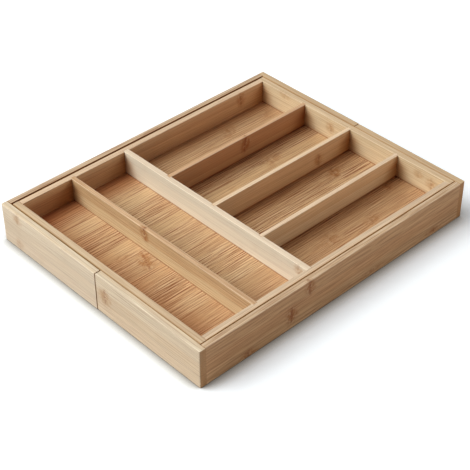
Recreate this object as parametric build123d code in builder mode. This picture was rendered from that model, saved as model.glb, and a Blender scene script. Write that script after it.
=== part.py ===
from build123d import *
import os

# Expanding cutlery tray of bamboo boards, in millimetres.
# An inner tray has two cross compartments in front and four long ones behind. A U-shaped
# extension wraps round each side of it, carries it on a floor of its own and slides out sideways.
# X runs to the right, the way the tray expands, Y runs back and Z up. The origin is the middle of
# the closed tray's footprint, on the surface that it stands on.

os.makedirs("parts", exist_ok=True)

# Overall size, pushed together
closed_width = 360.0
length = 446.0
height = 54.0
seam_offset = 2.0
travel = 100.0

# Board thicknesses
side_board = 8.5
end_board = 9.0
main_divider_board = 8.0
front_divider_board = 6.5
rear_divider_board = 6.0
tray_floor_board = 5.5
extension_floor_board = 5.0

# Compartments
front_compartment = 75.0
rear_bay = 240.0
rear_compartments = 4

# Rounded edges
edge_ease = 0.6
corner_round = 1.6
tray_corner_round = 0.8

# Grooves, housings and dowels that join the boards
floor_ledge = 5.0
groove_depth = 4.0
housing_depth = 2.5
glue_gap = 0.2
dowel_diameter = 5.0
dowel_in_end_board = 6.0
dowel_in_side_board = 16.0
dowel_clearance = 0.05
dowel_level_shares = (0.4, 0.8)

# Running gaps round the inner tray
left_side_gap = 1.6
right_side_gap = 0.8
left_end_gap = 0.9
right_end_gap = 0.4
under_gap = 0.4
seam_gap = 1.0
floor_seam_gap = 2.0

# Guide runners on the extensions, and the grooves in the tray's walls that they run in
runner_length = 40.0
runner_height = 6.0
runner_inset = 5.0
runner_seat = 2.0
guide_depth = 3.5
guide_play = 0.4
stop_play = 0.5

# Levels
extension_floor_top = floor_ledge + extension_floor_board
tray_bottom = extension_floor_top + under_gap
tray_floor_bottom = tray_bottom + floor_ledge
tray_floor_top = tray_floor_bottom + tray_floor_board
tray_height = height - tray_bottom
divider_height = height - tray_floor_top
guide_level = (tray_floor_top + height) / 2

# Outline of the inner tray and of the space inside its walls
tray_left = -closed_width / 2 + side_board + left_side_gap
tray_right = closed_width / 2 - side_board - right_side_gap
tray_middle = (tray_left + tray_right) / 2
tray_width = tray_right - tray_left
tray_length = length - 2 * (end_board + left_end_gap)
inside_width = tray_width - 2 * side_board
inside_length = tray_length - 2 * end_board
inside_left = tray_left + side_board
inside_front = -inside_length / 2
inside_back = inside_length / 2

# Places of the dividers
main_divider_y = inside_back - rear_bay - main_divider_board / 2
front_divider_y = inside_front + front_compartment + front_divider_board / 2
rear_divider_count = rear_compartments - 1
rear_compartment = (inside_width - rear_divider_count * rear_divider_board) / rear_compartments
rear_pitch = rear_compartment + rear_divider_board
rear_divider_xs = [
    inside_left + number * rear_pitch - rear_divider_board / 2
    for number in range(1, rear_compartments)
]
main_divider_back = main_divider_y + main_divider_board / 2
rear_divider_y = (main_divider_back + inside_back) / 2
rear_divider_length = rear_bay + 2 * (housing_depth - glue_gap)
cross_divider_length = inside_width + 2 * (housing_depth - glue_gap)

# Guide groove in the tray's front and back walls, long enough for both runners' travel
runner_reach = seam_gap / 2 + runner_inset + runner_length
guide_left = seam_offset - runner_reach - travel - stop_play
guide_right = seam_offset + runner_reach + travel + stop_play
guide_height = runner_height + 2 * guide_play

# Dowels lie along Y across each corner joint, more of each in the side board's end grain
dowel_length = dowel_in_end_board + dowel_in_side_board
dowel_shift = (dowel_in_side_board - dowel_in_end_board) / 2
tray_dowels_at = [
    (x, end * (inside_length / 2 - dowel_shift), tray_bottom + share * tray_height)
    for x in (tray_left + side_board / 2, tray_right - side_board / 2)
    for end in (-1, 1)
    for share in dowel_level_shares
]


# Inner tray: front and back walls, which cover the ends of the side walls
for end, outward in (("front", -1), ("back", 1)):
    with BuildPart() as end_wall:
        with BuildSketch(Plane.XY.offset(tray_bottom)) as plan:
            with Locations((tray_middle, outward * (tray_length - end_board) / 2)):
                Rectangle(tray_width, end_board)
            outer_corners = plan.vertices().sort_by(Axis.Y, reverse=outward > 0)[:2]
            fillet(outer_corners, radius=tray_corner_round)
        extrude(amount=tray_height)
        fillet(end_wall.edges().group_by(Axis.Z)[-1], radius=edge_ease)

        # Groove for the floor panel
        with BuildSketch(Plane.XY.offset(tray_floor_bottom)):
            with Locations((tray_middle, 0)):
                Rectangle(inside_width + 2 * groove_depth, inside_length + 2 * groove_depth)
        extrude(amount=tray_floor_board, mode=Mode.SUBTRACT)

        # Guide groove in the outer face, closed at both ends
        with BuildSketch(Plane.XY.offset(guide_level - guide_height / 2)):
            with Locations(((guide_left + guide_right) / 2, outward * tray_length / 2)):
                Rectangle(guide_right - guide_left, 2 * guide_depth)
        extrude(amount=guide_height, mode=Mode.SUBTRACT)

        # Housings for the rear dividers
        if end == "back":
            with BuildSketch(Plane.XY.offset(tray_floor_top)):
                with Locations(*[(x, inside_back) for x in rear_divider_xs]):
                    Rectangle(rear_divider_board, 2 * housing_depth)
            extrude(amount=divider_height, mode=Mode.SUBTRACT)

        with Locations(*tray_dowels_at):
            Cylinder(
                dowel_diameter / 2 + dowel_clearance,
                dowel_length + 2 * glue_gap,
                rotation=(90, 0, 0),
                mode=Mode.SUBTRACT,
            )

    end_wall.part.label = f"tray_{end}_wall"
    export_step(end_wall.part, f"parts/tray_{end}_wall.step")


# Inner tray: side walls between the front and back walls
for side, outward in (("left", -1), ("right", 1)):
    with BuildPart() as side_wall:
        with BuildSketch(Plane.XY.offset(tray_bottom)):
            with Locations((tray_middle + outward * (tray_width - side_board) / 2, 0)):
                Rectangle(side_board, inside_length)
        extrude(amount=tray_height)
        fillet(side_wall.edges().group_by(Axis.Z)[-1].filter_by(Axis.Y), radius=edge_ease)

        # Groove for the floor panel
        with BuildSketch(Plane.XY.offset(tray_floor_bottom)):
            with Locations((tray_middle, 0)):
                Rectangle(inside_width + 2 * groove_depth, inside_length + 2 * groove_depth)
        extrude(amount=tray_floor_board, mode=Mode.SUBTRACT)

        # Housings for the main divider and the front divider
        with BuildSketch(Plane.XY.offset(tray_floor_top)):
            with Locations((tray_middle, main_divider_y)):
                Rectangle(inside_width + 2 * housing_depth, main_divider_board)
            with Locations((tray_middle, front_divider_y)):
                Rectangle(inside_width + 2 * housing_depth, front_divider_board)
        extrude(amount=divider_height, mode=Mode.SUBTRACT)

        with Locations(*tray_dowels_at):
            Cylinder(
                dowel_diameter / 2 + dowel_clearance,
                dowel_length + 2 * glue_gap,
                rotation=(90, 0, 0),
                mode=Mode.SUBTRACT,
            )

    side_wall.part.label = f"tray_{side}_wall"
    export_step(side_wall.part, f"parts/tray_{side}_wall.step")


# Inner tray: floor panel, held in the walls' grooves
with BuildPart() as tray_floor:
    with BuildSketch(Plane.XY.offset(tray_floor_bottom)):
        with Locations((tray_middle, 0)):
            Rectangle(
                inside_width + 2 * (groove_depth - glue_gap),
                inside_length + 2 * (groove_depth - glue_gap),
            )
    extrude(amount=tray_floor_board)

tray_floor.part.label = "tray_floor"
export_step(tray_floor.part, "parts/tray_floor.step")


# Inner tray: main divider, between the front bay and the rear bay
with BuildPart() as main_divider:
    with BuildSketch(Plane.XY.offset(tray_floor_top)):
        with Locations((tray_middle, main_divider_y)):
            Rectangle(cross_divider_length, main_divider_board)
    extrude(amount=divider_height)
    fillet(main_divider.edges().group_by(Axis.Z)[-1].filter_by(Axis.X), radius=edge_ease)

    # Housings for the rear dividers
    with BuildSketch(Plane.XY.offset(tray_floor_top)):
        with Locations(*[(x, main_divider_back) for x in rear_divider_xs]):
            Rectangle(rear_divider_board, 2 * housing_depth)
    extrude(amount=divider_height, mode=Mode.SUBTRACT)

main_divider.part.label = "main_divider"
export_step(main_divider.part, "parts/main_divider.step")


# Inner tray: front divider, between the two cross compartments
with BuildPart() as front_divider:
    with BuildSketch(Plane.XY.offset(tray_floor_top)):
        with Locations((tray_middle, front_divider_y)):
            Rectangle(cross_divider_length, front_divider_board)
    extrude(amount=divider_height)
    fillet(front_divider.edges().group_by(Axis.Z)[-1].filter_by(Axis.X), radius=edge_ease)

front_divider.part.label = "front_divider"
export_step(front_divider.part, "parts/front_divider.step")


# Inner tray: rear dividers, between the long compartments
for number, divider_x in enumerate(rear_divider_xs, start=1):
    with BuildPart() as rear_divider:
        with BuildSketch(Plane.XY.offset(tray_floor_top)):
            with Locations((divider_x, rear_divider_y)):
                Rectangle(rear_divider_board, rear_divider_length)
        extrude(amount=divider_height)
        fillet(rear_divider.edges().group_by(Axis.Z)[-1].filter_by(Axis.Y), radius=edge_ease)

    rear_divider.part.label = f"rear_divider_{number}"
    export_step(rear_divider.part, f"parts/rear_divider_{number}.step")


# Inner tray: dowels across the corner joints
with BuildPart() as tray_dowels:
    with Locations(*tray_dowels_at):
        Cylinder(dowel_diameter / 2, dowel_length, rotation=(90, 0, 0))

tray_dowels.part.label = "tray_dowels"
export_step(tray_dowels.part, "parts/tray_dowels.step")


# Extensions: a U of three boards with a floor, mirrored left and right
for side, hand, end_gap in (("left", -1, left_end_gap), ("right", 1, right_end_gap)):
    # Outer and inner faces of the boards, and the ends that meet at the seam
    outer_x = hand * closed_width / 2
    inner_x = outer_x - hand * side_board
    seam_x = seam_offset + hand * seam_gap / 2
    inner_y = tray_length / 2 + end_gap
    outer_y = inner_y + end_board

    floor_outer_x = inner_x + hand * groove_depth
    floor_seam_x = seam_offset + hand * floor_seam_gap / 2
    runner_x = seam_x + hand * (runner_inset + runner_length / 2)
    runner_depth = runner_seat + end_gap + guide_depth - guide_play
    dowels_at = [
        (inner_x + hand * side_board / 2, end * (inner_y - dowel_shift), share * height)
        for end in (-1, 1)
        for share in dowel_level_shares
    ]

    for end, outward in (("front", -1), ("back", 1)):
        # Half-length board that covers the end of the side board
        with BuildPart() as end_panel:
            with BuildSketch() as plan:
                with Locations(((outer_x + seam_x) / 2, outward * (inner_y + outer_y) / 2)):
                    Rectangle(abs(seam_x - outer_x), end_board)
                fillet(plan.vertices().sort_by_distance((0, 0))[-1], radius=corner_round)
            extrude(amount=height)
            fillet(end_panel.edges().group_by(Axis.Z)[-1], radius=edge_ease)
            fillet(end_panel.edges().group_by(Axis.Z)[0], radius=edge_ease)

            # Groove for the floor, open at the seam
            with BuildSketch(Plane.XY.offset(floor_ledge)):
                with Locations(((floor_outer_x + seam_x) / 2, 0)):
                    Rectangle(abs(seam_x - floor_outer_x), 2 * (inner_y + groove_depth))
            extrude(amount=extension_floor_board, mode=Mode.SUBTRACT)

            # Seat of the guide runner
            with BuildSketch(Plane.XY.offset(guide_level - runner_height / 2)):
                with Locations((runner_x, outward * inner_y)):
                    Rectangle(runner_length, 2 * runner_seat)
            extrude(amount=runner_height, mode=Mode.SUBTRACT)

            with Locations(*dowels_at):
                Cylinder(
                    dowel_diameter / 2 + dowel_clearance,
                    dowel_length + 2 * glue_gap,
                    rotation=(90, 0, 0),
                    mode=Mode.SUBTRACT,
                )

        end_panel.part.label = f"{side}_extension_{end}_board"
        export_step(end_panel.part, f"parts/{side}_extension_{end}_board.step")

        # Runner seated in the board and standing into the tray's guide groove
        with BuildPart() as runner:
            with BuildSketch(Plane.XY.offset(guide_level - runner_height / 2)):
                with Locations((runner_x, outward * (inner_y + runner_seat - runner_depth / 2))):
                    Rectangle(runner_length, runner_depth)
            extrude(amount=runner_height)

        runner.part.label = f"{side}_extension_{end}_runner"
        export_step(runner.part, f"parts/{side}_extension_{end}_runner.step")

    # Side board between the front and back boards
    with BuildPart() as side_panel:
        with BuildSketch():
            with Locations(((outer_x + inner_x) / 2, 0)):
                Rectangle(side_board, 2 * inner_y)
        extrude(amount=height)
        fillet(side_panel.edges().group_by(Axis.Z)[-1].filter_by(Axis.Y), radius=edge_ease)
        fillet(side_panel.edges().group_by(Axis.Z)[0].filter_by(Axis.Y), radius=edge_ease)

        # Groove for the floor
        with BuildSketch(Plane.XY.offset(floor_ledge)):
            with Locations((inner_x, 0)):
                Rectangle(2 * groove_depth, 2 * inner_y)
        extrude(amount=extension_floor_board, mode=Mode.SUBTRACT)

        with Locations(*dowels_at):
            Cylinder(
                dowel_diameter / 2 + dowel_clearance,
                dowel_length + 2 * glue_gap,
                rotation=(90, 0, 0),
                mode=Mode.SUBTRACT,
            )

    side_panel.part.label = f"{side}_extension_side_board"
    export_step(side_panel.part, f"parts/{side}_extension_side_board.step")

    # Floor that runs under the inner tray
    with BuildPart() as extension_floor:
        with BuildSketch(Plane.XY.offset(floor_ledge)):
            with Locations(((floor_outer_x - hand * glue_gap + floor_seam_x) / 2, 0)):
                Rectangle(
                    abs(floor_outer_x - floor_seam_x) - glue_gap,
                    2 * (inner_y + groove_depth - glue_gap),
                )
        extrude(amount=extension_floor_board)

    extension_floor.part.label = f"{side}_extension_floor"
    export_step(extension_floor.part, f"parts/{side}_extension_floor.step")

    # Dowels across the corner joints
    with BuildPart() as extension_dowels:
        with Locations(*dowels_at):
            Cylinder(dowel_diameter / 2, dowel_length, rotation=(90, 0, 0))

    extension_dowels.part.label = f"{side}_extension_dowels"
    export_step(extension_dowels.part, f"parts/{side}_extension_dowels.step")
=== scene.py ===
"""Finishes the expanding bamboo cutlery tray: bamboo on every board, a pale floor, soft light and a camera.

The boards, floors, dividers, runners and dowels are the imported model's own solids. Each gets a solid bamboo
finish that is laid out along its own grain: glued strips, plies, fibres and the marks of the cane's nodes.
Lengths inside the finishes are in millimetres; those in the settings and on the stage are in metres.
"""

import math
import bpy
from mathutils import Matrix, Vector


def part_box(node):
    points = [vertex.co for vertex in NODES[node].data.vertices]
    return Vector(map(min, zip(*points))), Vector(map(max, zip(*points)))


bl_info = {
    "name": "Expanding cutlery tray",
    "version": (1, 0, 0),
    "blender": (4, 5, 0),
    "location": "View3D > Sidebar > Tray",
    "description": "Bamboo finishes, stage, light and camera for an expanding cutlery tray",
    "category": "Material",
}

from typing import NamedTuple

import bpy
from bpy.props import FloatProperty, FloatVectorProperty, PointerProperty
from bpy.types import NodeSocket, Operator, Panel, PropertyGroup
from mathutils import Quaternion, Vector

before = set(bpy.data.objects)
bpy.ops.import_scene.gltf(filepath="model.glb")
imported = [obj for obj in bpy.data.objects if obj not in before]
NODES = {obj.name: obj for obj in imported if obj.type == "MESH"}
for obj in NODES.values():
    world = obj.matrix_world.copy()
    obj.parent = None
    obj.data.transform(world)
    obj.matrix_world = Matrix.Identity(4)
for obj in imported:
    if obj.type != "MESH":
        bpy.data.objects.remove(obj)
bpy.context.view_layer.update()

MM = 1000


def face_at(node, side, axis):
    """Where a board's low face (side 0) or its high face (side 1) lies along an axis, in millimetres."""
    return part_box(node)[side]["XYZ".index(axis)] * MM


# The tray's inner faces and rim, its main divider, and the step from one rear divider to the next.
LEFT = face_at("tray_left_wall", 1, "X")
RIGHT = face_at("tray_right_wall", 0, "X")
FRONT = face_at("tray_front_wall", 1, "Y")
BACK = face_at("tray_back_wall", 0, "Y")
FLOOR = face_at("tray_floor", 1, "Z")
RIM = face_at("tray_left_wall", 1, "Z")
MAIN_FRONT = face_at("main_divider", 0, "Y")
MAIN_BACK = face_at("main_divider", 1, "Y")
DIVIDER_STEP = face_at("rear_divider_2", 0, "X") - face_at("rear_divider_1", 0, "X")

# A wall counts as inside the tray from this deep in its wood. The corners' painted shade fades out over the
# last stretch up to the rim, and the painted shade beside a gap sets in between two depths under it.
INTO_WALL = 4.0
UNSHADED_RIM = 18.0
GAP_SHADE_DEPTHS = (2.0, 1.2)

# Grain, width and thickness of a board along the row frame's axes.
ALONG_X = "XZY"
ALONG_Y = "YZX"
PANEL = "YXZ"

# A strip has its share of the board's width, its brightness and its streaks, and a board's strips are listed
# from the low side up.
THREE_STRIPS = [(1, 0.97, 0.22), (1, 1.0, 0.16), (1, 1.03, 0.22)]
CALM_STRIPS = [(1, 0.99, 0.1), (1, 1.0, 0.08), (1, 1.01, 0.1)]
STREAKY_STRIPS = [(1, 0.97, 0.3), (1, 1.0, 0.26), (1, 1.03, 0.28)]
LOW_BRIGHT_STRIPS = [(1, 1.06, 0.22), (1, 1.03, 0.18), (1, 0.9, 0.22)]
SIDE_STRIPS = [(17, 1.01, 0.42), (17, 0.97, 0.38), (20, 1.03, 0.4)]
TWO_STRIPS = [(1, 1.04, 0.18), (1, 0.96, 0.18)]
STREAKY_PAIR = [(1, 1.04, 0.3), (1, 0.95, 0.34)]
UNEVEN_PAIR = [(11, 1.1, 0.18), (22, 0.96, 0.18)]
PLAIN_STRIP = [(1, 1.0, 0.2)]
PANEL_STRIPS = [(1, brightness, 0.6) for brightness in (1.0, 1.08, 0.92, 1.0, 1.06, 0.98, 0.94, 1.02)]

# Brightness and streaks of the strips of the tray's floor, from the left.
FLOOR_TONES = [
    (0.97, 0.5), (0.95, 0.6), (1.05, 0.45), (0.97, 0.85), (1.0, 0.85), (1.05, 0.42), (0.97, 0.75),
    (0.99, 0.65), (0.96, 0.7), (1.0, 0.95), (0.97, 0.95), (1.02, 0.7), (0.93, 0.55), (0.89, 0.65),
    (0.92, 0.8), (0.92, 0.7)]
FLOOR_STRIP_WIDTH = 21.5
FLOOR_GRAIN = {"stray": 0.1, "fibre_width": 1.25, "stretch": 0.9}
SIDE_FIBRE_WIDTH = 2.2

# Powers of red, green and blue: of a strip's brightness, of the painted shade in a wall's corners, of that on
# the tray's floor, of that beside a gap, and of the contact shadow where the tray stands. A low power keeps
# the channel.
STRIP_TINT = (1.0, 1.7, 2.1)
WALL_TINT = (0.7, 1.25, 1.7)
FLOOR_TINT = (0.35, 1.45, 2.15)
GAP_TINT = (0.31, 0.52, 0.85)
CONTACT_TINT = (0.93, 1.0, 1.1)

# A mark reaches this deep into its board. Where a board has no joint, the nearest counts as this far off.
MARK_DEPTH = 5.0
NO_JOINT = 99.0

# The fibres' relief under the lacquer, in metres, and the lacquer's gloss.
RELIEF_DEPTH = 0.0001
RELIEF_STRENGTH = 0.5
LACQUER_GLOSS = 0.4

# Linear colours and tints of the wood: pale spots at nodes, a painted highlight on the eased edges, the sawn
# ends, and the lift of a low face out of its board's painted shade.
FADED_WOOD = (0.78, 0.62, 0.4, 1.0)
EDGE_HIGHLIGHT_WOOD = (0.86, 0.74, 0.56, 1.0)
SAWN_TINT = (0.7, 0.48, 0.3, 1.0)
UNSHADED_FACE_TINT = (1.28, 1.5, 1.8, 1.0)

# Red, green and blue of a piece of cane: the share of its chance, the share of its hue, and the least.
CANE_TONES = ((0.08, 0.0, 0.96), (0.09, 0.05, 0.93), (0.10, 0.11, 0.895))

# What a pale streak adds to red, green and blue.
PALE_SHARES = (0.29, 0.45, 0.68)

# The camera looks at its aim from this way round and this high, a little rolled.
CAMERA_AIM = (0.03622, -0.03539, 0.027)
CAMERA_AZIMUTH = math.radians(46.7765)
CAMERA_ELEVATION = math.radians(38.5426)
CAMERA_ROLL = math.radians(-0.2229)
CAMERA_DISTANCE = 1.54743
SENSOR_WIDTH = 36

# Where the lamps hang, seen from the tray.
LAMP_WAY = (-0.6, -0.76, 1.0)
SIDE_LAMP_WAY = (1.0, 0.5, 0.35)
SIDE_LAMP_DISTANCE = 3.0
SIDE_LAMP_SIZE = 1.5

# The floor lies a little under the boards' feet. Its contact shadow reaches so far out from the tray and is
# so steep and so deep. The lift in its brightness grows between two distances from the tray's middle.
FLOOR_DROP = 0.0002
CONTACT_REACH = 0.021
CONTACT_POWER = 1.22
CONTACT_DEPTH = 1.68
LIFT_START, LIFT_END = 0.5, 1.4
SEEN_FLOOR = (0.8, 0.85, 0.88)

NUMBER = "NodeSocketFloat"
VECTOR = "NodeSocketVector"
COLOUR = "NodeSocketColor"


class Corner(NamedTuple):
    """An inner corner of the tray, and the painted shade that runs out from it that way, +1 or -1, for its
    reach.

    It comes back every step, and keeps between a lowest and a highest y where these are given.
    """
    axis: str
    place: float
    way: int
    reach: float
    depth: float
    step: float | None = None
    between: tuple | None = None


class Gap(NamedTuple):
    """The side of a board that a running gap lies along, and how dark and how wide the painted shade on its
    edge is.
    """
    axis: str
    way: int
    depth: float
    reach: float = 1.2


class Half(NamedTuple):
    """What only one of the two sliding halves has in its finish."""
    front_colour: tuple
    front_strips: list
    front_marks: list
    front_gap: Gap
    side_marks: list
    side_gap: Gap
    seed: int


# Painted shade: each corner darkens the wood near it, along a board's foot, in the tray's inner corners, on
# the floor beside the walls and dividers, and on the left wall towards the front.
FOOT = Corner("Z", FLOOR, 1, 2.0, 0.75)
DEEP_FOOT = Corner("Z", FLOOR, 1, 3.0, 0.7)
CROSS_CORNERS = [Corner("X", LEFT, 1, 24, 0.45), Corner("X", RIGHT, -1, 12, 0.2), FOOT]
BACK_CORNERS = [
    Corner("X", LEFT, 1, 24, 0.42, DIVIDER_STEP), Corner("X", RIGHT, -1, 12, 0.2, DIVIDER_STEP), FOOT]
SIDE_CORNERS = [
    Corner("Y", BACK, -1, 22, 0.1), Corner("Y", MAIN_BACK, 1, 14, 0.2), Corner("Y", MAIN_FRONT, -1, 14, 0.2),
    Corner("Y", FRONT, 1, 250, 0.36)]
REAR_CORNERS = [Corner("Y", BACK, -1, 28, 0.34), Corner("Y", MAIN_BACK, 1, 14, 0.2), DEEP_FOOT]
FLOOR_CORNERS = [
    Corner("X", LEFT, 1, 42, 0.38, None, (FRONT, MAIN_BACK)),
    Corner("X", LEFT, 1, 26, 0.2, DIVIDER_STEP, (MAIN_BACK, BACK)), Corner("Y", FRONT, 1, 64, 0.25)]

# Marks of the cane's nodes: x, y and z in the row frame, half length, half width, slant and strength.
BACK_WALL_MARKS = [
    (-118, 204, 51, 12, 7, 0.1, 0.45), (-31, 204, 39, 10, 9, 0.1, 0.65), (121, 204, 43, 9, 7, 0.0, 0.5),
    (143, 204, 38, 11, 10, 0.1, 0.6)]
FLOOR_MARKS = [
    (-6, -141, 21, 13, 21, 0.38, 0.85), (-28, -160, 21, 14, 9, -0.2, 0.4),
    (-134, 188, 21, 12, 10, 0.3, 0.45), (-138, 118, 21, 16, 12, 0.3, 0.6),
    (-52, 112, 21, 20, 12, 0.3, 0.55), (26, 152, 21, 16, 12, 0.3, 0.85),
    (92, 180, 21, 10, 9, 0.2, 0.6), (126, 112, 21, 14, 10, 0.2, 0.6), (115, 48, 21, 22, 12, 0.3, 0.5)]
HALVES = {
    "left": Half(
        front_colour=(212, 194, 167), front_strips=THREE_STRIPS,
        front_marks=[(-149, -223, 46, 10, 9, 0.0, 0.6), (-149, -223, 8, 9, 9, 0.1, 0.45)],
        front_gap=Gap("Y", 1, 0.98), side_marks=[], side_gap=Gap("X", 1, 0.98, 1.6), seed=20),
    "right": Half(
        front_colour=(213, 191, 159), front_strips=STREAKY_STRIPS,
        front_marks=[(18, -222.5, 28, 12, 14, 0.0, 0.75)], front_gap=Gap("Y", 1, 0.36),
        side_marks=[
            (180, -54, 45, 10, 14, 0.05, 0.9), (180, -83, 20, 11, 15, 0.0, 1.0),
            (180, -151, 3, 16, 9, 0.0, 0.9), (180, 52, 7, 26, 4, 0.0, 0.6), (180, 168, 7, 18, 5, 0.0, 0.8)],
        side_gap=Gap("X", -1, 0.77), seed=30),
}


def screen(colour):
    """Gives a screen colour, 0 to 255, as the 0 to 1 values of a colour property."""
    return [channel / 255 for channel in colour]


def linear(shares):
    """Turns the 0 to 1 values of a screen colour into the linear colour that a shader takes."""
    return [s / 12.92 if s <= 0.04045 else ((s + 0.055) / 1.055) ** 2.4 for s in shares]


class BambooSettings(PropertyGroup):
    """What the bamboo of all the boards shares"""
    fibre_colour: FloatVectorProperty(
        name="Fibre", description="Colour of the dark fibres", subtype="COLOR_GAMMA", size=3, min=0, max=1,
        default=screen((126, 66, 28)))
    node_colour: FloatVectorProperty(
        name="Node", description="Tint that a node of the cane gives the wood", subtype="COLOR_GAMMA",
        size=3, min=0, max=1, default=screen((215, 184, 153)))
    ply: FloatProperty(
        name="Ply", description="Thickness of one glued layer of a board", subtype="DISTANCE", unit="LENGTH",
        min=0.001, max=0.02, default=0.0043)
    fibre_width: FloatProperty(
        name="Fibre width", description="Width of a bundle of fibres in a board", subtype="DISTANCE",
        unit="LENGTH", min=0.0002, max=0.01, default=0.0012)
    fibre_length: FloatProperty(
        name="Fibre length", description="Length over which a bundle of fibres stays alike",
        subtype="DISTANCE", unit="LENGTH", min=0.005, max=0.5, default=0.055)
    roughness: FloatProperty(
        name="Roughness", description="Roughness of the satin lacquer", subtype="FACTOR", min=0, max=1,
        default=0.5)


class StageSettings(PropertyGroup):
    """The floor, the lamps and the camera"""
    floor_colour: FloatVectorProperty(
        name="Floor", description="Colour of the floor", subtype="COLOR_GAMMA", size=3, min=0, max=1,
        default=screen((196, 196, 196)))
    floor_size: FloatProperty(
        name="Floor size", description="Side of the square floor", subtype="DISTANCE", unit="LENGTH", min=1,
        default=9.0)
    lamp_size: FloatProperty(
        name="Lamp size", description="Side of the square lamp", subtype="DISTANCE", unit="LENGTH", min=0.1,
        default=4.2)
    lamp_distance: FloatProperty(
        name="Lamp distance", description="Distance of the lamp from the tray", subtype="DISTANCE",
        unit="LENGTH", min=0.5, default=5.0)
    lamp_power: FloatProperty(
        name="Lamp power", description="Power of the lamp", subtype="POWER", unit="POWER", min=0,
        default=406.0)
    side_power: FloatProperty(
        name="Side lamp power", description="Power of the low lamp to the right", subtype="POWER",
        unit="POWER", min=0, default=30.0)
    fill: FloatProperty(
        name="Fill", description="Strength of the even light from all round", min=0, max=1, default=0.02)
    floor_lift: FloatProperty(
        name="Floor lift", description="Light that the camera sees added to the floor", min=0, max=1,
        default=0.31)
    lens: FloatProperty(
        name="Lens", description="Focal length of the camera", subtype="DISTANCE_CAMERA", unit="CAMERA",
        min=10, max=300, default=97.73)


class Sheet:
    """Adds nodes to one shader tree and joins them. A value may be a number or another node's output."""

    def __init__(self, tree):
        self.tree = tree

    def node(self, kind, **settings):
        made = self.tree.nodes.new(kind)
        for name, value in settings.items():
            setattr(made, name, value)
        return made

    def feed(self, socket, value):
        if isinstance(value, NodeSocket):
            self.tree.links.new(value, socket)
        else:
            socket.default_value = value

    def fed(self, kind, *values, **settings):
        """Adds a node, feeds its inputs in order and gives its first output."""
        made = self.node(kind, **settings)
        for socket, value in zip(made.inputs, values):
            self.feed(socket, value)
        return made.outputs[0]

    def math(self, operation, *values, clamp=False):
        return self.fed("ShaderNodeMath", *values, operation=operation, use_clamp=clamp)

    def vector(self, operation, *values):
        return self.fed("ShaderNodeVectorMath", *values, operation=operation)

    def join(self, x, y, z):
        return self.fed("ShaderNodeCombineXYZ", x, y, z)

    def split(self, vector):
        made = self.node("ShaderNodeSeparateXYZ")
        self.feed(made.inputs[0], vector)
        return made.outputs

    def length(self, vector):
        made = self.node("ShaderNodeVectorMath", operation="LENGTH")
        self.feed(made.inputs[0], vector)
        return made.outputs["Value"]

    def ease(self, value, start, end, low=0.0, high=1.0):
        """Runs smoothly from low to high as the value goes from start to end."""
        if start > end:
            start, end, low, high = end, start, high, low
        return self.fed("ShaderNodeMapRange", value, start, end, low, high, interpolation_type="SMOOTHSTEP")

    def noise(self, place, stretch=None, detail=1.0, roughness=0.5):
        """Noise from 0 to 1. stretch multiplies the place along its three axes first."""
        if stretch:
            place = self.vector("MULTIPLY", place, stretch)
        made = self.node("ShaderNodeTexNoise", noise_dimensions="3D")
        self.feed(made.inputs["Vector"], place)
        self.feed(made.inputs["Scale"], 1.0)
        self.feed(made.inputs["Detail"], detail)
        self.feed(made.inputs["Roughness"], roughness)
        return made.outputs["Fac"]

    def blend(self, share, first, second, mode="MIX"):
        made = self.node("ShaderNodeMix", data_type="RGBA", blend_type=mode)
        self.feed(made.inputs["Factor"], share)
        self.feed(made.inputs["A"], first)
        self.feed(made.inputs["B"], second)
        return made.outputs["Result"]

    def tint(self, light, powers):
        """Gives a light of 0 to 1 a colour, by raising it to a power of its own in each channel."""
        return self.join(*[self.math("POWER", light, power) for power in powers])

    def object_place(self):
        return self.node("ShaderNodeTexCoord").outputs["Object"]

    def row_spot(self):
        """The x, y and z of a point of the board in the row frame, in millimetres."""
        return self.split(self.vector("MULTIPLY", self.object_place(), (MM, MM, MM)))


def new_group(name, inputs, outputs):
    """Makes an empty node group with those sockets. Gives it, its sheet, and the sockets on both sides."""
    tree = bpy.data.node_groups.new(name, "ShaderNodeTree")
    for label, kind in inputs:
        tree.interface.new_socket(label, in_out="INPUT", socket_type=kind)
    for label, kind in outputs:
        tree.interface.new_socket(label, in_out="OUTPUT", socket_type=kind)
    sheet = Sheet(tree)
    given = sheet.node("NodeGroupInput").outputs
    result = sheet.node("NodeGroupOutput").inputs
    return tree, sheet, given, result


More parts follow.
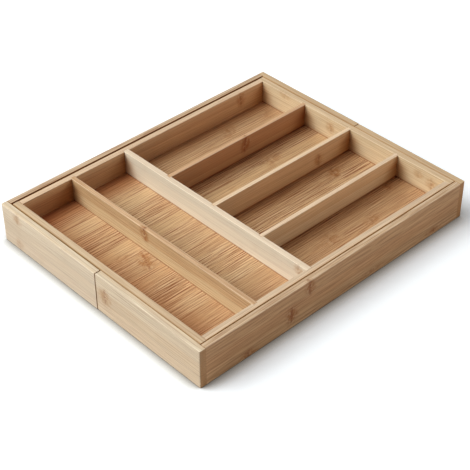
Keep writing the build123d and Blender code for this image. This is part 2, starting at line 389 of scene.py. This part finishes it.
def node_mark_group():
    """The mark of the cane's node across a strip: a warm smudge with thin, dark, ragged lines in it."""
    name = "Cane node"
    if name in bpy.data.node_groups:
        return bpy.data.node_groups[name]
    tree, sheet, given, result = new_group(
        name,
        [("Place", VECTOR), ("Centre", VECTOR), ("Reach", VECTOR), ("Slant", NUMBER), ("Strength", NUMBER)],
        [("Halo", NUMBER), ("Line", NUMBER)])
    along, across, deep = sheet.split(sheet.vector("SUBTRACT", given["Place"], given["Centre"]))
    ragged = sheet.noise(given["Place"], (0.1, 0.22, 0.22), 3.0, 0.6)
    ragged = sheet.math("SUBTRACT", ragged, 0.5)
    slanted = sheet.math("MULTIPLY_ADD", across, given["Slant"], along)
    wavy = sheet.math("MULTIPLY_ADD", ragged, 6.0, slanted)
    shares = sheet.vector("DIVIDE", sheet.join(wavy, across, deep), given["Reach"])
    spread = sheet.math("MULTIPLY_ADD", ragged, 1.2, sheet.length(shares))
    halo = sheet.ease(spread, 1.2, 0.3)
    sheet.feed(result["Halo"], sheet.math("MULTIPLY", halo, given["Strength"]))

    # The middle line is the strongest, and thinner ones run beside it. All are broken here and there.
    share_along, share_across, share_deep = sheet.split(shares)
    middle = sheet.ease(sheet.math("ABSOLUTE", wavy), 1.7, 0.3)
    rows = sheet.ease(sheet.math("PINGPONG", sheet.math("MULTIPLY_ADD", wavy, 0.3, 0.5), 0.5), 0.22, 0.04)
    rows = sheet.math("MULTIPLY", rows, sheet.ease(sheet.math("ABSOLUTE", share_along), 0.9, 0.1))
    inside = sheet.ease(sheet.math("ABSOLUTE", share_across), 1.05, 0.55)
    depth = sheet.ease(sheet.math("ABSOLUTE", share_deep), 1.0, 0.8)
    broken = sheet.noise(given["Place"], (0.3, 0.45, 0.45), 2.0)
    line = sheet.math("MULTIPLY_ADD", rows, 0.6, middle, clamp=True)
    line = sheet.math("MULTIPLY", sheet.math("MULTIPLY", line, inside), depth)
    line = sheet.math("MULTIPLY", line, sheet.ease(broken, 0.38, 0.56, 0.1, 1.0))
    solid = sheet.math("MULTIPLY", given["Strength"], given["Strength"])
    sheet.feed(result["Line"], sheet.math("MULTIPLY", line, solid))
    return tree


def with_stray_nodes(sheet, given, along, chance):
    """Adds to the halo and line of the marks the faint nodes of each strip, one to about 230 mm."""
    turns = sheet.math("MULTIPLY_ADD", along, 0.0043, sheet.math("MULTIPLY", chance, 7.0))
    away = sheet.math("ABSOLUTE", sheet.math("SUBTRACT", sheet.math("FRACT", turns), 0.5))
    ragged = sheet.noise(given["Place"], (0.12, 0.35, 0.35), 2.0)
    away = sheet.math("MULTIPLY_ADD", ragged, 0.03, sheet.math("SUBTRACT", away, 0.015))
    away = sheet.math("ABSOLUTE", away)
    halo = sheet.math("MULTIPLY", sheet.ease(away, 0.034, 0.004), given["Stray"])
    line = sheet.math("MULTIPLY", sheet.ease(away, 0.006, 0.001), given["Stray"])
    line = sheet.math("MULTIPLY", line, sheet.ease(ragged, 0.4, 0.6))
    return sheet.math("MAXIMUM", halo, given["Halo"]), sheet.math("MAXIMUM", line, given["Line"])


def fibre_space(sheet, given, place, cane, halo):
    """A place counted in fibres. The fibres wander a little, and more round a node of the cane."""
    along, across, deep = place
    sway_place = sheet.join(
        sheet.math("MULTIPLY", along, 0.012),
        sheet.math("MULTIPLY", across, 0.05),
        sheet.math("MULTIPLY_ADD", cane["Value"], 31.0, given["Seed"]))
    sway = sheet.math("SUBTRACT", sheet.noise(sway_place), 0.5)
    ripple = sheet.math("SUBTRACT", sheet.noise(given["Place"], (0.14, 0.1, 0.1)), 0.5)
    bend = sheet.math("MULTIPLY", sheet.math("MULTIPLY", ripple, halo), 10.0)
    bent = sheet.math("MULTIPLY_ADD", sway, 1.5, sheet.math("ADD", across, bend))
    counted = sheet.join(
        sheet.math("DIVIDE", along, given["Fibre Length"]),
        sheet.math("DIVIDE", bent, given["Fibre Width"]),
        sheet.math("DIVIDE", deep, given["Fibre Width"]))
    return sheet.vector("ADD", counted, sheet.vector("MULTIPLY", cane["Color"], (53, 47, 59)))


def fine_fibres(sheet, fibre_place):
    """Noise for the fine fibres. What lies beside a place is taken off it, so that they lie evenly apart."""
    fine_place = sheet.vector("MULTIPLY", fibre_place, (1.0, 1.25, 1.25))
    taken = 0.4
    fine = sheet.math("ADD", sheet.noise(fine_place), taken)
    for beside in (-1.7, 1.7):
        near = sheet.noise(sheet.vector("ADD", fine_place, (0.0, beside, 0.0)))
        fine = sheet.math("MULTIPLY_ADD", near, -taken, fine)
    return fine


def bamboo_group():
    """Solid bamboo: strips side by side, plies through the thickness, fibres along the grain, and nodes."""
    name = "Bamboo"
    if name in bpy.data.node_groups:
        return bpy.data.node_groups[name]
    tree, sheet, given, result = new_group(
        name,
        [("Place", VECTOR), ("Half Size", VECTOR), ("Facing", VECTOR), ("Colour", COLOUR),
         ("Edge Colour", COLOUR), ("Streaks", NUMBER), ("Fibre Colour", COLOUR), ("Node Colour", COLOUR),
         ("Halo", NUMBER), ("Line", NUMBER), ("Strip", NUMBER), ("Joint", NUMBER), ("Ply", NUMBER),
         ("Fibre Width", NUMBER), ("Fibre Length", NUMBER), ("Seed", NUMBER), ("Stray", NUMBER),
         ("Roughness", NUMBER)],
        [("Colour", COLOUR), ("Roughness", NUMBER), ("Height", NUMBER)])
    place = sheet.split(given["Place"])
    along, across, deep = place
    half_across, half_deep = sheet.split(given["Half Size"])[1:]

    # The planed edges above and below show the cane from its side, in a colour of their own.
    face_along, face_across, face_deep = sheet.split(given["Facing"])
    colour = sheet.blend(sheet.ease(face_across, 0.5, 0.9), given["Colour"], given["Edge Colour"])

    # Each strip of each ply is a piece of cane of its own, with its own tone and its own fibres.
    plies = sheet.math("DIVIDE", sheet.math("ADD", deep, half_deep), given["Ply"])
    piece = sheet.join(given["Strip"], sheet.math("FLOOR", plies), given["Seed"])
    cane_noise = sheet.node("ShaderNodeTexWhiteNoise", noise_dimensions="3D")
    sheet.feed(cane_noise.inputs["Vector"], piece)
    cane = cane_noise.outputs
    chance = cane["Value"]
    hue = sheet.split(cane["Color"])[1]
    tones = [sheet.math("MULTIPLY_ADD", hue, by_hue, sheet.math("MULTIPLY_ADD", chance, by_chance, least))
             for by_chance, by_hue, least in CANE_TONES]
    colour = sheet.blend(1.0, colour, sheet.join(*tones), "MULTIPLY")

    halo, line = with_stray_nodes(sheet, given, along, chance)
    fibre_place = fibre_space(sheet, given, place, cane, halo)
    fine = fine_fibres(sheet, fibre_place)
    hair = sheet.noise(fibre_place, (1.2, 2.3, 2.3))
    coarse = sheet.noise(fibre_place, (0.55, 0.4, 0.4))
    broad = sheet.noise(fibre_place, (0.3, 0.1, 0.1))
    patchy = sheet.noise(fibre_place, (0.8, 0.16, 0.16))

    # Dark fibres are thin and sharp; where a strip is patchy they thin out, and at a node they fade.
    threads = sheet.ease(fine, 0.53, 0.6)
    hairs = sheet.ease(hair, 0.5, 0.58)
    bands = sheet.ease(coarse, 0.46, 0.66)
    dark = sheet.math("MULTIPLY_ADD", threads, 0.84, sheet.math("MULTIPLY", hairs, 0.5))
    dark = sheet.math("MULTIPLY", dark, sheet.ease(patchy, 0.3, 0.62, 0.75, 1.0))
    dark = sheet.math("MULTIPLY_ADD", bands, 0.08, dark)
    dark = sheet.math("MULTIPLY", dark, sheet.math("MULTIPLY_ADD", halo, -0.7, 1.0))
    pale_hairs = sheet.math("MULTIPLY", sheet.ease(hair, 0.46, 0.3), 0.6)
    pale = sheet.math("MAXIMUM", sheet.ease(fine, 0.45, 0.3), pale_hairs)
    pale = sheet.math("MULTIPLY", pale, given["Streaks"])
    tone = sheet.ease(broad, 0.3, 0.7, 1.045, 0.955)
    brighter = sheet.join(*[sheet.math("MULTIPLY_ADD", pale, share, tone) for share in PALE_SHARES])
    colour = sheet.blend(1.0, colour, brighter, "MULTIPLY")
    streaks = sheet.math("MULTIPLY", dark, given["Streaks"], clamp=True)
    colour = sheet.blend(streaks, colour, given["Fibre Colour"])

    # A node of the cane is warmer than the strip, paler in spots, with darker broken lines across it.
    blotch = sheet.noise(given["Place"], (0.16, 0.2, 0.2), 2.0)
    faded = sheet.math("MULTIPLY", halo, sheet.ease(blotch, 0.5, 0.38, 0.0, 0.2))
    colour = sheet.blend(faded, colour, FADED_WOOD)
    warm = sheet.math("MULTIPLY", halo, sheet.ease(blotch, 0.34, 0.54, 0.45, 1.0))
    colour = sheet.blend(warm, colour, given["Node Colour"], "MULTIPLY")
    colour = sheet.blend(sheet.math("MULTIPLY", line, 0.9), colour, given["Fibre Colour"])

    # The sawn ends show the fibres end on, and are darker and warmer.
    sawn = sheet.blend(1.0, colour, SAWN_TINT, "MULTIPLY")
    colour = sheet.blend(sheet.ease(face_along, 0.5, 0.9), colour, sawn)

    # Thin glue lines part the strips, and on the edges also the plies.
    joint = sheet.ease(given["Joint"], 0.28, 0.08)
    seam = sheet.math("MULTIPLY", sheet.math("PINGPONG", plies, 0.5), given["Ply"])
    seam = sheet.math("MULTIPLY", sheet.ease(seam, 0.2, 0.05), sheet.ease(face_deep, 0.9, 0.5))
    glue = sheet.math("MAXIMUM", joint, seam)
    colour = sheet.blend(sheet.math("MULTIPLY", glue, 0.28), colour, given["Fibre Colour"])

    # The long eased edges are painted a little paler: a painted highlight.
    rest_across = sheet.math("SUBTRACT", half_across, sheet.math("ABSOLUTE", across))
    rest_deep = sheet.math("SUBTRACT", half_deep, sheet.math("ABSOLUTE", deep))
    to_edge = sheet.math("MAXIMUM", rest_across, rest_deep)
    edge_highlight = sheet.math("MULTIPLY", sheet.ease(to_edge, 1.3, 0.3), sheet.ease(coarse, 0.3, 0.6, 0.5, 1.0))
    colour = sheet.blend(sheet.math("MULTIPLY", edge_highlight, 0.16), colour, EDGE_HIGHLIGHT_WOOD)
    sheet.feed(result["Colour"], colour)

    rough = sheet.math("MULTIPLY_ADD", sheet.math("SUBTRACT", fine, 0.5), 0.16, given["Roughness"])
    rough = sheet.math("MULTIPLY_ADD", glue, 0.08, rough)
    rough = sheet.math("MULTIPLY_ADD", edge_highlight, -0.06, rough, clamp=True)
    sheet.feed(result["Roughness"], rough)
    relief = sheet.math("MULTIPLY", dark, sheet.math("MULTIPLY_ADD", given["Streaks"], -0.6, -0.15))
    relief = sheet.math("MULTIPLY_ADD", glue, -0.7, relief)
    relief = sheet.math("MULTIPLY_ADD", line, -0.6, relief)
    sheet.feed(result["Height"], relief)
    return tree


def corner_light(sheet, spot, corners, inner_side):
    """The light in a board's inner corners, a painted shade: 1 unshaded, 0 black. The rim stays unshaded.

    inner_side is (axis, place, way) of the plane past which a wall is inside the tray, or None where both
    faces of the board are.
    """
    light = 1.0
    for axis, place, way, reach, depth, step, between in corners:
        away = sheet.math("MULTIPLY_ADD", spot["XYZ".index(axis)], way, -place * way)
        if step:
            away = sheet.math("FLOORED_MODULO", away, step)
        if between:
            lowest, highest = between
            depth = sheet.math("MULTIPLY", sheet.math("GREATER_THAN", spot[1], lowest), depth)
            depth = sheet.math("MULTIPLY", sheet.math("LESS_THAN", spot[1], highest), depth)
        darkest_light = sheet.math("SUBTRACT", 1.0, depth)
        light = sheet.math("MULTIPLY", light, sheet.ease(away, 0.0, reach, darkest_light, 1.0))
    dark = sheet.math("SUBTRACT", 1.0, light)
    dark = sheet.math("MULTIPLY", dark, sheet.ease(spot[2], RIM, RIM - UNSHADED_RIM))
    if inner_side:
        axis, place, way = inner_side
        past = sheet.math("MULTIPLY_ADD", spot["XYZ".index(axis)], way, -place * way)
        dark = sheet.math("MULTIPLY", dark, sheet.math("GREATER_THAN", past, 0.0))
    return sheet.math("SUBTRACT", 1.0, dark)


def gap_light(sheet, spot, box, gap):
    """The light on the eased edge beside a running gap, darkened there with painted shade."""
    number = "XYZ".index(gap.axis)
    face = box[1 if gap.way > 0 else 0][number] * MM
    away = sheet.math("ABSOLUTE", sheet.math("SUBTRACT", spot[number], face))
    lowest, highest = GAP_SHADE_DEPTHS
    on_edge = sheet.ease(spot[2], RIM - lowest, RIM - highest)
    dark = sheet.math("MULTIPLY", sheet.ease(away, gap.reach, 0.5), on_edge)
    return sheet.math("MULTIPLY_ADD", dark, -gap.depth, 1.0)


def strip_ramp(sheet, share, colour, strips):
    """A ramp across a board with each strip's colour, and its streaks as alpha; and the strips' borders.

    A brighter strip is also greyer, and a darker one redder.
    """
    ramp = sheet.node("ShaderNodeValToRGB")
    ramp.color_ramp.interpolation = "CONSTANT"
    sheet.feed(ramp.inputs["Fac"], share)
    stops = ramp.color_ramp.elements
    stops.remove(stops[1])
    total = sum(strip[0] for strip in strips)
    start = 0.0
    starts = []
    for width, brightness, streaks in strips:
        stop = stops.new(start / total) if starts else stops[0]
        tints = [brightness ** power for power in STRIP_TINT]
        channels = [channel * tint for channel, tint in zip(linear(screen(colour)), tints)]
        stop.color = channels + [streaks]
        starts.append(start / total)
        start += width
    return ramp.outputs["Color"], ramp.outputs["Alpha"], starts[1:]


def strip_at(sheet, share, across, half_across, borders):
    """The number of the strip that a place lies in, and its distance from the nearest glue joint."""
    number = 0.0
    joint = NO_JOINT
    for border in borders:
        number = sheet.math("ADD", sheet.math("GREATER_THAN", share, border), number)
        away = sheet.math("SUBTRACT", across, (border - 0.5) * 2 * half_across)
        joint = sheet.math("MINIMUM", sheet.math("ABSOLUTE", away), joint)
    return number, joint


def node_marks(sheet, place, centre, order, marks):
    """The halo and the line of the marks that are put on a board."""
    halo = 0.0
    line = 0.0
    for x, y, z, half_length, half_width, slant, strength in marks:
        offset = [v - c * MM for v, c in zip((x, y, z), centre)]
        mark = sheet.node("ShaderNodeGroup", node_tree=node_mark_group())
        sheet.feed(mark.inputs["Place"], place)
        sheet.feed(mark.inputs["Centre"], [offset[axis] for axis in order])
        sheet.feed(mark.inputs["Reach"], (half_length, half_width, MARK_DEPTH))
        sheet.feed(mark.inputs["Slant"], slant)
        sheet.feed(mark.inputs["Strength"], strength)
        halo = sheet.math("MAXIMUM", mark.outputs["Halo"], halo)
        line = sheet.math("MAXIMUM", mark.outputs["Line"], line)
    return halo, line


def bamboo(node, axes, colour, edge, strips, marks=(), seed=0.0, stray=0.06, fibre_width=None, stretch=1.0,
           corners=(), inner_side=None, gap=None, shade_tint=WALL_TINT, unshaded_face_tint=None):
    """Gives a CAD node its own bamboo, with one screen colour for its broad faces and one for its edges.

    stray is the strength of the faint nodes, fibre_width is in millimetres, stretch lengthens the fibres, and
    the tint of the low side brightens the broad face there, so that only the high face keeps a painted shade.
    corners and gap say where the board is darkened with painted shade, inner_side which part of it is inside
    the tray, and shade_tint how that painted shade is coloured.
    """
    slots = NODES[node].material_slots
    if not slots:
        raise RuntimeError(f"{node} has no material slot")
    settings = bpy.context.scene.tray_bamboo
    low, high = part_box(node)
    centre = (low + high) / 2
    half = (high - low) / 2 * MM
    order = ["XYZ".index(axis) for axis in axes]

    material = bpy.data.materials.new("bamboo_" + node)
    material.use_nodes = True
    sheet = Sheet(material.node_tree)
    from_centre = sheet.vector("SUBTRACT", sheet.object_place(), centre)
    parts = sheet.split(sheet.vector("MULTIPLY", from_centre, (MM, MM, MM)))
    place = sheet.join(*[parts[axis] for axis in order])
    normal = sheet.vector("ABSOLUTE", sheet.node("ShaderNodeTexCoord").outputs["Normal"])
    sides = sheet.split(normal)

    across = parts[order[1]]
    half_across = half[order[1]]
    share = sheet.math("MULTIPLY_ADD", across, 0.5 / half_across, 0.5)
    face_colour, streaks, borders = strip_ramp(sheet, share, colour, strips)
    # The low face is brightened, so that only the high face keeps the board's painted shade.
    if unshaded_face_tint:
        far = sheet.math("LESS_THAN", parts[order[2]], 0.0)
        face_colour = sheet.blend(far, face_colour, sheet.blend(1.0, face_colour, unshaded_face_tint, "MULTIPLY"))
    strip, joint = strip_at(sheet, share, across, half_across, borders)
    halo, line = node_marks(sheet, place, centre, order, marks)

    wood = sheet.node("ShaderNodeGroup", node_tree=bamboo_group())
    values = {
        "Place": place,
        "Half Size": [half[axis] for axis in order],
        "Facing": sheet.join(*[sides[axis] for axis in order]),
        "Colour": face_colour,
        "Edge Colour": linear(screen(edge)) + [1.0],
        "Streaks": streaks,
        "Fibre Colour": linear(settings.fibre_colour) + [1.0],
        "Node Colour": linear(settings.node_colour) + [1.0],
        "Halo": halo,
        "Line": line,
        "Strip": strip,
        "Joint": joint,
        "Ply": settings.ply * MM,
        "Fibre Width": fibre_width or settings.fibre_width * MM,
        "Fibre Length": settings.fibre_length * MM * stretch,
        "Seed": seed,
        "Stray": stray,
        "Roughness": settings.roughness,
    }
    for label, value in values.items():
        sheet.feed(wood.inputs[label], value)

    colour = wood.outputs["Colour"]
    # Painted shade in the board's inner corners.
    if corners:
        light = corner_light(sheet, sheet.row_spot(), corners, inner_side)
        colour = sheet.blend(1.0, colour, sheet.tint(light, shade_tint), "MULTIPLY")
    # Painted shade on the edge beside a running gap.
    if gap:
        light = gap_light(sheet, sheet.row_spot(), (low, high), gap)
        colour = sheet.blend(1.0, colour, sheet.tint(light, GAP_TINT), "MULTIPLY")

    bump = sheet.node("ShaderNodeBump")
    sheet.feed(bump.inputs["Strength"], RELIEF_STRENGTH)
    sheet.feed(bump.inputs["Distance"], RELIEF_DEPTH)
    sheet.feed(bump.inputs["Height"], wood.outputs["Height"])
    shader = material.node_tree.nodes["Principled BSDF"]
    sheet.feed(shader.inputs["Base Color"], colour)
    sheet.feed(shader.inputs["Roughness"], wood.outputs["Roughness"])
    sheet.feed(shader.inputs["Normal"], bump.outputs["Normal"])
    sheet.feed(shader.inputs["Specular IOR Level"], LACQUER_GLOSS)
    for slot in slots:
        slot.material = material


class TRAY_OT_finish_walls(Operator):
    """Gives the inner tray's four walls their bamboo"""
    bl_idname = "tray.finish_walls"
    bl_label = "Finish the tray's walls"

    def execute(self, context):
        # The corners and gaps darken the walls with painted shade.
        bamboo("tray_front_wall", ALONG_X, (211, 188, 153), (211, 186, 151), THREE_STRIPS, seed=1,
               corners=CROSS_CORNERS, inner_side=("Y", FRONT - INTO_WALL, 1), gap=Gap("Y", -1, 0.8))
        bamboo("tray_back_wall", ALONG_X, (213, 190, 151), (213, 185, 147), THREE_STRIPS, BACK_WALL_MARKS,
               seed=2, corners=BACK_CORNERS, inner_side=("Y", BACK + INTO_WALL, -1), gap=Gap("Y", 1, 0.76))
        bamboo("tray_left_wall", ALONG_Y, (219, 182, 139), (221, 193, 160), LOW_BRIGHT_STRIPS,
               [(-161, 162, 42, 9, 13, 0.1, 0.75)], seed=3, corners=SIDE_CORNERS,
               inner_side=("X", LEFT - INTO_WALL, 1), gap=Gap("X", -1, 0.98, 1.6))
        bamboo("tray_right_wall", ALONG_Y, (217, 190, 157), (215, 191, 160), THREE_STRIPS, seed=4,
               corners=SIDE_CORNERS, inner_side=("X", RIGHT + INTO_WALL, -1), gap=Gap("X", 1, 0.77))
        return {"FINISHED"}


class TRAY_OT_finish_dividers(Operator):
    """Gives the five dividers their bamboo"""
    bl_idname = "tray.finish_dividers"
    bl_label = "Finish the dividers"

    def execute(self, context):
        # The corners darken the dividers with painted shade.
        bamboo("main_divider", ALONG_X, (226, 216, 194), (232, 213, 186), CALM_STRIPS,
               [(152, -44, 46, 9, 9, 0.1, 0.6)], seed=5, corners=CROSS_CORNERS)
        bamboo("front_divider", ALONG_X, (203, 174, 131), (210, 174, 134), STREAKY_PAIR,
               [(-22, -129, 47, 9, 13, 0.15, 1.0)], seed=6, corners=CROSS_CORNERS)
        # Rear divider 1's colour is its right face's colour in shade, a painted shade; its left face is
        # brightened out of it.
        bamboo("rear_divider_1", ALONG_Y, (182, 131, 88), (207, 170, 132), UNEVEN_PAIR,
               [(-79, 92, 42, 10, 15, -0.1, 1.0)], seed=7, corners=REAR_CORNERS, unshaded_face_tint=UNSHADED_FACE_TINT)
        # The pale tops of rear dividers 2 and 3 are partly their own tone and partly a painted highlight.
        bamboo("rear_divider_2", ALONG_Y, (209, 168, 124), (239, 213, 178), TWO_STRIPS,
               [(3.4, 145, 34, 9, 12, 0.1, 0.8)], seed=8, corners=REAR_CORNERS)
        bamboo("rear_divider_3", ALONG_Y, (223, 189, 146), (232, 205, 172), TWO_STRIPS, seed=9,
               corners=REAR_CORNERS)
        return {"FINISHED"}


class TRAY_OT_finish_floor(Operator):
    """Gives the inner tray's floor its streaky bamboo"""
    bl_idname = "tray.finish_floor"
    bl_label = "Finish the tray's floor"

    def execute(self, context):
        low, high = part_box("tray_floor")
        first = LEFT + FLOOR_STRIP_WIDTH - low.x * MM
        whole = len(FLOOR_TONES) - 2
        last = (high.x - low.x) * MM - first - whole * FLOOR_STRIP_WIDTH
        widths = [first] + [FLOOR_STRIP_WIDTH] * whole + [last]
        strips = [(width, *tone) for width, tone in zip(widths, FLOOR_TONES)]
        # The floor is darkened and warmed beside the walls and dividers with painted shade.
        bamboo("tray_floor", PANEL, (200, 164, 120), (200, 164, 120), strips, FLOOR_MARKS, seed=10,
               corners=FLOOR_CORNERS, shade_tint=FLOOR_TINT, **FLOOR_GRAIN)
        return {"FINISHED"}


def finish_extension(side):
    """Gives one sliding half its bamboo: three boards, the floor and the two runners."""
    half = HALVES[side]
    name = side + "_extension_"
    # Each gap darkens the edge of the board beside it with painted shade.
    bamboo(name + "front_board", ALONG_X, half.front_colour, (224, 205, 174), half.front_strips,
           half.front_marks, seed=half.seed, gap=half.front_gap)
    bamboo(name + "back_board", ALONG_X, (211, 180, 141), (205, 177, 139), THREE_STRIPS, seed=half.seed + 1,
           gap=Gap("Y", -1, 0.68))
    # The side boards' browner, warmer colour is partly their own tone and partly painted shade.
    bamboo(name + "side_board", ALONG_Y, (195, 150, 105), (203, 175, 141), SIDE_STRIPS, half.side_marks,
           seed=half.seed + 2, fibre_width=SIDE_FIBRE_WIDTH, gap=half.side_gap)
    bamboo(name + "floor", PANEL, (200, 164, 121), (200, 164, 121), PANEL_STRIPS, seed=half.seed + 3,
           **FLOOR_GRAIN)
    for end in ("front", "back"):
        bamboo(f"{name}{end}_runner", ALONG_X, (205, 172, 134), (205, 172, 134), PLAIN_STRIP,
               seed=half.seed + 4)


class TRAY_OT_finish_left_half(Operator):
    """Gives the left sliding half its bamboo"""
    bl_idname = "tray.finish_left_half"
    bl_label = "Finish the left half"

    def execute(self, context):
        finish_extension("left")
        return {"FINISHED"}


class TRAY_OT_finish_right_half(Operator):
    """Gives the right sliding half its bamboo"""
    bl_idname = "tray.finish_right_half"
    bl_label = "Finish the right half"

    def execute(self, context):
        finish_extension("right")
        return {"FINISHED"}


class TRAY_OT_finish_dowels(Operator):
    """Gives the dowels of all three boxes their bamboo"""
    bl_idname = "tray.finish_dowels"
    bl_label = "Finish the dowels"

    def execute(self, context):
        for number, node in enumerate(("tray_dowels", "left_extension_dowels", "right_extension_dowels")):
            bamboo(node, ALONG_Y, (218, 196, 162), (218, 196, 162), PLAIN_STRIP, seed=40 + number)
        return {"FINISHED"}


def backdrop_rays(sheet):
    """1 where the camera sees the surface itself, 0 where the surface gives light."""
    return sheet.node("ShaderNodeLightPath").outputs["Is Camera Ray"]


def lay_floor(scene, settings):
    """Lays the pale floor, which is darker close to the tray and white further out."""
    half = settings.floor_size / 2
    mesh = bpy.data.meshes.new("floor")
    corners = [(x, y, -FLOOR_DROP) for x, y in ((-half, -half), (half, -half), (half, half), (-half, half))]
    mesh.from_pydata(corners, [], [(0, 1, 2, 3)])
    floor = bpy.data.objects.new("floor", mesh)
    scene.collection.objects.link(floor)
    material = bpy.data.materials.new("pale_floor")
    material.use_nodes = True
    sheet = Sheet(material.node_tree)
    seen = backdrop_rays(sheet)
    occlusion = sheet.node("ShaderNodeAmbientOcclusion", samples=16)
    sheet.feed(occlusion.inputs["Distance"], CONTACT_REACH)
    hidden = sheet.math("SUBTRACT", 1.0, occlusion.outputs["AO"])
    deepened = sheet.math("POWER", hidden, CONTACT_POWER)
    light = sheet.math("MULTIPLY_ADD", deepened, -CONTACT_DEPTH, 1.0, clamp=True)
    shade = sheet.tint(light, CONTACT_TINT)
    pale = linear(settings.floor_colour) + [1.0]
    shader = material.node_tree.nodes["Principled BSDF"]
    shaded = sheet.vector("MULTIPLY", shade, SEEN_FLOOR)
    sheet.feed(shader.inputs["Base Color"], sheet.blend(seen, pale, shaded))
    sheet.feed(shader.inputs["Roughness"], 1.0)
    sheet.feed(shader.inputs["Specular IOR Level"], 0.0)
    sheet.feed(shader.inputs["Emission Color"], shade)
    # Away from the tray the lamps give the floor less, so more is added there, up to plain white.
    away = sheet.length(sheet.object_place())
    lift = sheet.ease(away, LIFT_START, LIFT_END, settings.floor_lift, 1.0)
    sheet.feed(shader.inputs["Emission Strength"], sheet.math("MULTIPLY", seen, lift))
    mesh.materials.append(material)


def fill_room(scene, settings):
    """Lights the room evenly and faintly from all round, and shows the camera plain white."""
    world = bpy.data.worlds.new("studio")
    world.use_nodes = True
    sheet = Sheet(world.node_tree)
    light = world.node_tree.nodes["Background"]
    strength = sheet.fed("ShaderNodeMapRange", backdrop_rays(sheet), 0.0, 1.0, settings.fill, 1.0)
    sheet.feed(light.inputs["Color"], (1.0, 1.0, 1.0, 1.0))
    sheet.feed(light.inputs["Strength"], strength)
    scene.world = world


def hang_lamp(scene, name, way, distance, size, power):
    """Hangs a square lamp that way from the tray, facing it."""
    lamp = bpy.data.lights.new(name, "AREA")
    lamp.shape = "SQUARE"
    lamp.size = size
    lamp.energy = power
    piece = bpy.data.objects.new(name, lamp)
    direction = Vector(way).normalized()
    piece.location = direction * distance
    piece.rotation_euler = direction.to_track_quat("Z", "Y").to_euler()
    piece.visible_camera = False
    scene.collection.objects.link(piece)


def place_camera(scene, settings):
    """Places the camera on a line from its aim, looking back along it with a slight roll."""
    view = bpy.data.cameras.new("camera")
    view.sensor_width = SENSOR_WIDTH
    view.lens = settings.lens
    camera = bpy.data.objects.new("camera", view)
    level_share = math.cos(CAMERA_ELEVATION)
    away = Vector((math.sin(CAMERA_AZIMUTH) * level_share, -math.cos(CAMERA_AZIMUTH) * level_share,
                   math.sin(CAMERA_ELEVATION)))
    camera.location = Vector(CAMERA_AIM) + away * CAMERA_DISTANCE
    roll = Quaternion((0, 0, 1), CAMERA_ROLL)
    camera.rotation_euler = (away.to_track_quat("Z", "Y") @ roll).to_euler()
    scene.collection.objects.link(camera)
    scene.camera = camera


class TRAY_OT_set_stage(Operator):
    """Sets the pale floor, the two soft lamps, the even fill and the camera"""
    bl_idname = "tray.set_stage"
    bl_label = "Set the stage"

    def execute(self, context):
        scene = context.scene
        settings = scene.tray_stage
        lay_floor(scene, settings)
        fill_room(scene, settings)
        # The big lamp hangs to the front left, where it lights the front boards as much as the tops. The low
        # one stands to the right, for the faces that the big one leaves dark.
        hang_lamp(scene, "softbox", LAMP_WAY, settings.lamp_distance, settings.lamp_size,
                  settings.lamp_power)
        hang_lamp(scene, "side_lamp", SIDE_LAMP_WAY, SIDE_LAMP_DISTANCE, SIDE_LAMP_SIZE,
                  settings.side_power)
        place_camera(scene, settings)
        scene.view_settings.view_transform = "Standard"
        return {"FINISHED"}


STEPS = (
    TRAY_OT_set_stage,
    TRAY_OT_finish_walls,
    TRAY_OT_finish_dividers,
    TRAY_OT_finish_floor,
    TRAY_OT_finish_left_half,
    TRAY_OT_finish_right_half,
    TRAY_OT_finish_dowels,
)


class TRAY_PT_panel(Panel):
    """Lists the steps and their settings"""
    bl_label = "Cutlery tray"
    bl_idname = "TRAY_PT_panel"
    bl_space_type = "VIEW_3D"
    bl_region_type = "UI"
    bl_category = "Tray"

    def draw(self, context):
        column = self.layout.column()
        for group in (context.scene.tray_bamboo, context.scene.tray_stage):
            for name in group.bl_rna.properties.keys():
                if name not in ("rna_type", "name"):
                    column.prop(group, name)
        for step in STEPS:
            column.operator(step.bl_idname)


CLASSES = (BambooSettings, StageSettings) + STEPS + (TRAY_PT_panel,)


def register():
    for item in CLASSES:
        bpy.utils.register_class(item)
    bpy.types.Scene.tray_bamboo = PointerProperty(type=BambooSettings)
    bpy.types.Scene.tray_stage = PointerProperty(type=StageSettings)


def unregister():
    del bpy.types.Scene.tray_stage
    del bpy.types.Scene.tray_bamboo
    for item in reversed(CLASSES):
        bpy.utils.unregister_class(item)


def main():
    register()
    for step in STEPS:
        group, name = step.bl_idname.split(".")
        getattr(getattr(bpy.ops, group), name)()


if __name__ == "__main__":
    main()
